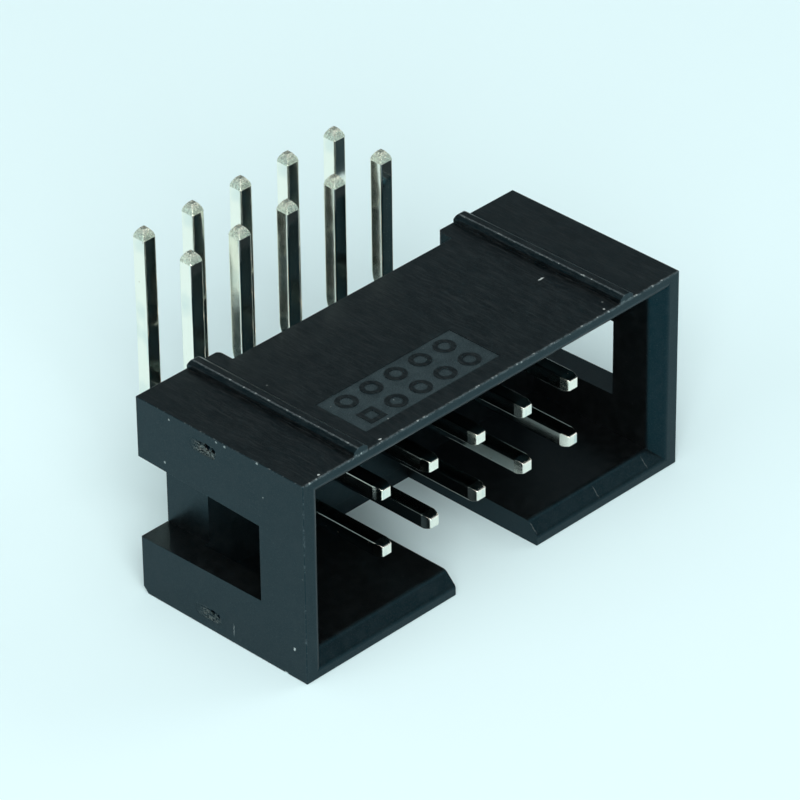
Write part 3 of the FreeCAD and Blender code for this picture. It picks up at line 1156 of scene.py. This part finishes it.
class BOXHEADER_OT_stage(bpy.types.Operator):
    """Builds the pale floor, the soft studio light and the camera"""

    bl_idname = "boxheader.build_stage"
    bl_label = "Build Stage"

    def execute(self, context):
        scene = context.scene
        look = scene.header_stage
        studio_floor(look)
        # Place and side of each softbox, in metres, and its power
        add_softbox("overhead_softbox", (-0.15, -0.15, 0.72), 0.7, look.overhead_power)
        add_softbox("front_softbox", (-0.44, -0.52, 0.42), 0.5, look.front_power)
        add_softbox("left_softbox", (-0.6, 0.15, 0.4), 0.4, look.side_power)
        add_softbox("right_softbox", (0.6, -0.25, 0.45), 0.4, look.side_power)
        scene.world = dim_room(look.surround)
        scene.camera = aim_camera(look)
        scene.view_settings.view_transform = "Standard"
        return {"FINISHED"}


def studio_floor(look):
    """Round floor whose rim turns up all the way round, a hair below the part."""
    around, rim_steps = 96, 12
    below = -0.01 * MM
    radii = [(look.floor_radius * share, 0.0) for share in (0.05, 0.2, 0.5, 1.0)]
    for step in range(1, rim_steps + 1):
        angle = step * math.pi / 2 / rim_steps
        radii.append((look.floor_radius + look.rim_radius * math.sin(angle),
                      look.rim_radius * (1 - math.cos(angle))))
    bm = bmesh.new()
    middle = bm.verts.new((0, 0, below))
    rings = []
    for radius, height in radii:
        rings.append([
            bm.verts.new((radius * math.cos(2 * math.pi * step / around),
                          radius * math.sin(2 * math.pi * step / around), height + below))
            for step in range(around)
        ])
    for step in range(around):
        after = (step + 1) % around
        bm.faces.new([middle, rings[0][step], rings[0][after]])
        for inner, outer in zip(rings, rings[1:]):
            bm.faces.new([inner[step], outer[step], outer[after], inner[after]])
    mesh = finished_mesh(bm, "studio_floor")
    mesh.shade_smooth()
    floor = bpy.data.objects.new("studio_floor", mesh)
    bpy.context.scene.collection.objects.link(floor)
    material, tree, shader = new_material("pale_floor")
    shader.inputs["Base Color"].default_value = (*look.floor_shade, 1)
    shader.inputs["Roughness"].default_value = 0.9
    shader.inputs["Specular IOR Level"].default_value = 0.1
    dress(floor, material)
    return floor


def add_softbox(name, place, side, power):
    """Square area light that faces the part."""
    light = bpy.data.lights.new(name, "AREA")
    light.size = side
    light.energy = power
    softbox = bpy.data.objects.new(name, light)
    bpy.context.scene.collection.objects.link(softbox)
    softbox.location = place
    softbox.rotation_euler = (-Vector(place)).to_track_quat("-Z", "Y").to_euler()


def dim_room(strength):
    """World of even dim light."""
    world = bpy.data.worlds.new("dim_room")
    world.use_nodes = True
    background = world.node_tree.nodes["Background"]
    background.inputs["Color"].default_value = (0.96, 0.99, 1.0, 1)
    background.inputs["Strength"].default_value = strength
    return world


def aim_camera(look):
    """Camera at the place and angle from which the part was pictured."""
    data = bpy.data.cameras.new("camera")
    data.sensor_width = 36.0
    data.lens = look.lens
    data.clip_start = 0.01
    camera = bpy.data.objects.new("camera", data)
    bpy.context.scene.collection.objects.link(camera)
    turn = (Matrix.Rotation(-look.camera_yaw, 4, "Z")
            @ Matrix.Rotation(math.pi / 2 - look.camera_pitch, 4, "X")
            @ Matrix.Rotation(look.camera_roll, 4, "Z"))
    camera.matrix_world = Matrix.Translation(look.camera_place) @ turn
    return camera


class BOXHEADER_PT_sidebar(bpy.types.Panel):
    """Lists the steps that dress the header, with their sizes and colours"""

    bl_idname = "BOXHEADER_PT_sidebar"
    bl_label = "Box Header"
    bl_space_type = "VIEW_3D"
    bl_region_type = "UI"
    bl_category = "Box Header"

    def draw(self, context):
        for (setting, look_class), operator in zip(LOOKS.items(), OPERATORS):
            box = self.layout.box()
            look = getattr(context.scene, setting)
            for name in look_class.__annotations__:
                box.prop(look, name)
            box.operator(operator.bl_idname)


OPERATORS = (
    BOXHEADER_OT_housing,
    BOXHEADER_OT_marking,
    BOXHEADER_OT_gates,
    BOXHEADER_OT_pins,
    BOXHEADER_OT_stage,
)


def register():
    """Makes the settings, the steps and the panel known to Blender."""
    for setting, look_class in LOOKS.items():
        bpy.utils.register_class(look_class)
        setattr(bpy.types.Scene, setting, PointerProperty(type=look_class))
    for operator in OPERATORS:
        bpy.utils.register_class(operator)
    bpy.utils.register_class(BOXHEADER_PT_sidebar)


def unregister():
    """Takes away what register added."""
    bpy.utils.unregister_class(BOXHEADER_PT_sidebar)
    for operator in reversed(OPERATORS):
        bpy.utils.unregister_class(operator)
    for setting, look_class in reversed(LOOKS.items()):
        delattr(bpy.types.Scene, setting)
        bpy.utils.unregister_class(look_class)


def main():
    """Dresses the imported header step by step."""
    register()
    bpy.ops.boxheader.finish_housing()
    bpy.ops.boxheader.add_marking()
    bpy.ops.boxheader.add_gates()
    bpy.ops.boxheader.draw_pins()
    bpy.ops.boxheader.build_stage()


if __name__ == "__main__":
    main()
